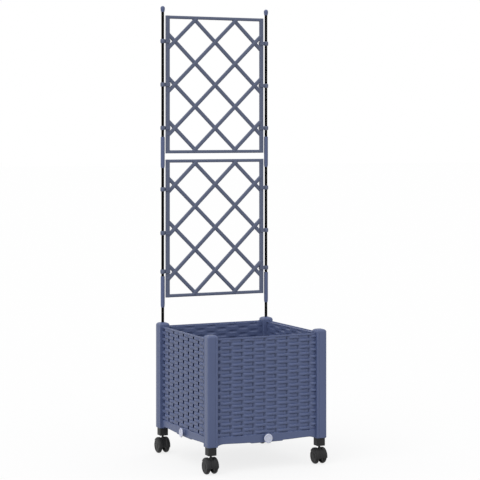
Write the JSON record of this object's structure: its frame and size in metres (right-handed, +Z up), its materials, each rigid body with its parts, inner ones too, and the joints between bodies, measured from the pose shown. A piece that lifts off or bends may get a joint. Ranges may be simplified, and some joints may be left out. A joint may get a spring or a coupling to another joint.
{
  "type": "planter with trellis",
  "caption": "Square basket-weave planter on twin-wheel castors, with a tall two-part lattice trellis held between slim poles at the back.",
  "frame": {"origin": "on the ground, at the centre of the whole part's outline seen from above", "axes": "+Z up, -Y towards the front, the trellis along the back edge at +Y, +X to the right seen from the front"},
  "size_m": [0.406, 0.4186, 1.425],
  "materials": {
    "blue_plastic": "moulded satin blue grey",
    "trellis_plastic": "moulded satin blue grey",
    "tray_plastic": "moulded satin blue grey",
    "clear_plug": "cloudy, translucent",
    "black_plastic": "moulded satin black",
    "black_wheel": "moulded satin black",
    "black_tube": "thin smooth black plastic coat on steel tube",
    "axle_steel": "plain drawn steel"
  },
  "bodies": {
    "planter": {"panel_front": "blue_plastic", "panel_right": "blue_plastic", "panel_back": "blue_plastic", "panel_left": "blue_plastic", "post_front_left": "blue_plastic", "post_front_right": "blue_plastic", "post_back_right": "blue_plastic", "post_back_left": "blue_plastic", "water_tray": "tray_plastic", "castor_socket_front_left": "black_plastic", "castor_socket_front_right": "black_plastic", "castor_socket_back_right": "black_plastic", "castor_socket_back_left": "black_plastic", "pole_lower_left": "black_tube", "pole_middle_left": "black_tube", "pole_upper_left": "black_tube", "sleeve_lower_left": "blue_plastic", "sleeve_upper_left": "blue_plastic", "finial_left": "blue_plastic", "pole_lower_right": "black_tube", "pole_middle_right": "black_tube", "pole_upper_right": "black_tube", "sleeve_lower_right": "blue_plastic", "sleeve_upper_right": "blue_plastic", "finial_right": "blue_plastic", "trellis_lower": "trellis_plastic", "clip_lower_left_1": "trellis_plastic", "clip_lower_right_1": "trellis_plastic", "clip_lower_left_2": "trellis_plastic", "clip_lower_right_2": "trellis_plastic", "clip_lower_left_3": "trellis_plastic", "clip_lower_right_3": "trellis_plastic", "trellis_upper": "trellis_plastic", "clip_upper_left_1": "trellis_plastic", "clip_upper_right_1": "trellis_plastic", "clip_upper_left_2": "trellis_plastic", "clip_upper_right_2": "trellis_plastic", "clip_upper_left_3": "trellis_plastic", "clip_upper_right_3": "trellis_plastic"},
    "plug_front": {"drain_plug_front": "clear_plug"},
    "plug_right": {"drain_plug_right": "clear_plug"},
    "plug_back": {"drain_plug_back": "clear_plug"},
    "plug_left": {"drain_plug_left": "clear_plug"},
    "castor_front_left": {"castor_hood_front_left": "black_plastic", "castor_axle_front_left": "axle_steel"},
    "castor_front_right": {"castor_hood_front_right": "black_plastic", "castor_axle_front_right": "axle_steel"},
    "castor_back_right": {"castor_hood_back_right": "black_plastic", "castor_axle_back_right": "axle_steel"},
    "castor_back_left": {"castor_hood_back_left": "black_plastic", "castor_axle_back_left": "axle_steel"},
    "wheel_front_left_left": {"wheel_front_left_left": "black_wheel"},
    "wheel_front_left_right": {"wheel_front_left_right": "black_wheel"},
    "wheel_front_right_left": {"wheel_front_right_left": "black_wheel"},
    "wheel_front_right_right": {"wheel_front_right_right": "black_wheel"},
    "wheel_back_right_left": {"wheel_back_right_left": "black_wheel"},
    "wheel_back_right_right": {"wheel_back_right_right": "black_wheel"},
    "wheel_back_left_left": {"wheel_back_left_left": "black_wheel"},
    "wheel_back_left_right": {"wheel_back_left_right": "black_wheel"}
  },
  "joints": [
    {"name": "plug_front_pull", "type": "slide", "parent": "planter", "child": "plug_front", "axis": [0, -1, 0], "range_m": [0, 0.025]},
    {"name": "plug_right_pull", "type": "slide", "parent": "planter", "child": "plug_right", "axis": [1, 0, 0], "range_m": [0, 0.025]},
    {"name": "plug_back_pull", "type": "slide", "parent": "planter", "child": "plug_back", "axis": [0, 1, 0], "range_m": [0, 0.025]},
    {"name": "plug_left_pull", "type": "slide", "parent": "planter", "child": "plug_left", "axis": [-1, 0, 0], "range_m": [0, 0.025]},
    {"name": "swivel_front_left", "type": "hinge", "parent": "planter", "child": "castor_front_left", "pos_m": [-0.184, -0.18789, 0.057], "axis": [0, 0, 1], "continuous": true},
    {"name": "swivel_front_right", "type": "hinge", "parent": "planter", "child": "castor_front_right", "pos_m": [0.184, -0.18789, 0.057], "axis": [0, 0, 1], "continuous": true},
    {"name": "swivel_back_right", "type": "hinge", "parent": "planter", "child": "castor_back_right", "pos_m": [0.184, 0.18011, 0.057], "axis": [0, 0, 1], "continuous": true},
    {"name": "swivel_back_left", "type": "hinge", "parent": "planter", "child": "castor_back_left", "pos_m": [-0.184, 0.18011, 0.057], "axis": [0, 0, 1], "continuous": true},
    {"name": "spin_front_left_left", "type": "hinge", "parent": "castor_front_left", "child": "wheel_front_left_left", "pos_m": [-0.197, -0.18239, 0.02371], "axis": [1, 0, 0], "continuous": true},
    {"name": "spin_front_left_right", "type": "hinge", "parent": "castor_front_left", "child": "wheel_front_left_right", "pos_m": [-0.171, -0.18239, 0.02371], "axis": [1, 0, 0], "continuous": true},
    {"name": "spin_front_right_left", "type": "hinge", "parent": "castor_front_right", "child": "wheel_front_right_left", "pos_m": [0.171, -0.18239, 0.02371], "axis": [1, 0, 0], "continuous": true},
    {"name": "spin_front_right_right", "type": "hinge", "parent": "castor_front_right", "child": "wheel_front_right_right", "pos_m": [0.197, -0.18239, 0.02371], "axis": [1, 0, 0], "continuous": true},
    {"name": "spin_back_right_left", "type": "hinge", "parent": "castor_back_right", "child": "wheel_back_right_left", "pos_m": [0.171, 0.18561, 0.02371], "axis": [1, 0, 0], "continuous": true},
    {"name": "spin_back_right_right", "type": "hinge", "parent": "castor_back_right", "child": "wheel_back_right_right", "pos_m": [0.197, 0.18561, 0.02371], "axis": [1, 0, 0], "continuous": true},
    {"name": "spin_back_left_left", "type": "hinge", "parent": "castor_back_left", "child": "wheel_back_left_left", "pos_m": [-0.197, 0.18561, 0.02371], "axis": [1, 0, 0], "continuous": true},
    {"name": "spin_back_left_right", "type": "hinge", "parent": "castor_back_left", "child": "wheel_back_left_right", "pos_m": [-0.171, 0.18561, 0.02371], "axis": [1, 0, 0], "continuous": true}
  ]
}
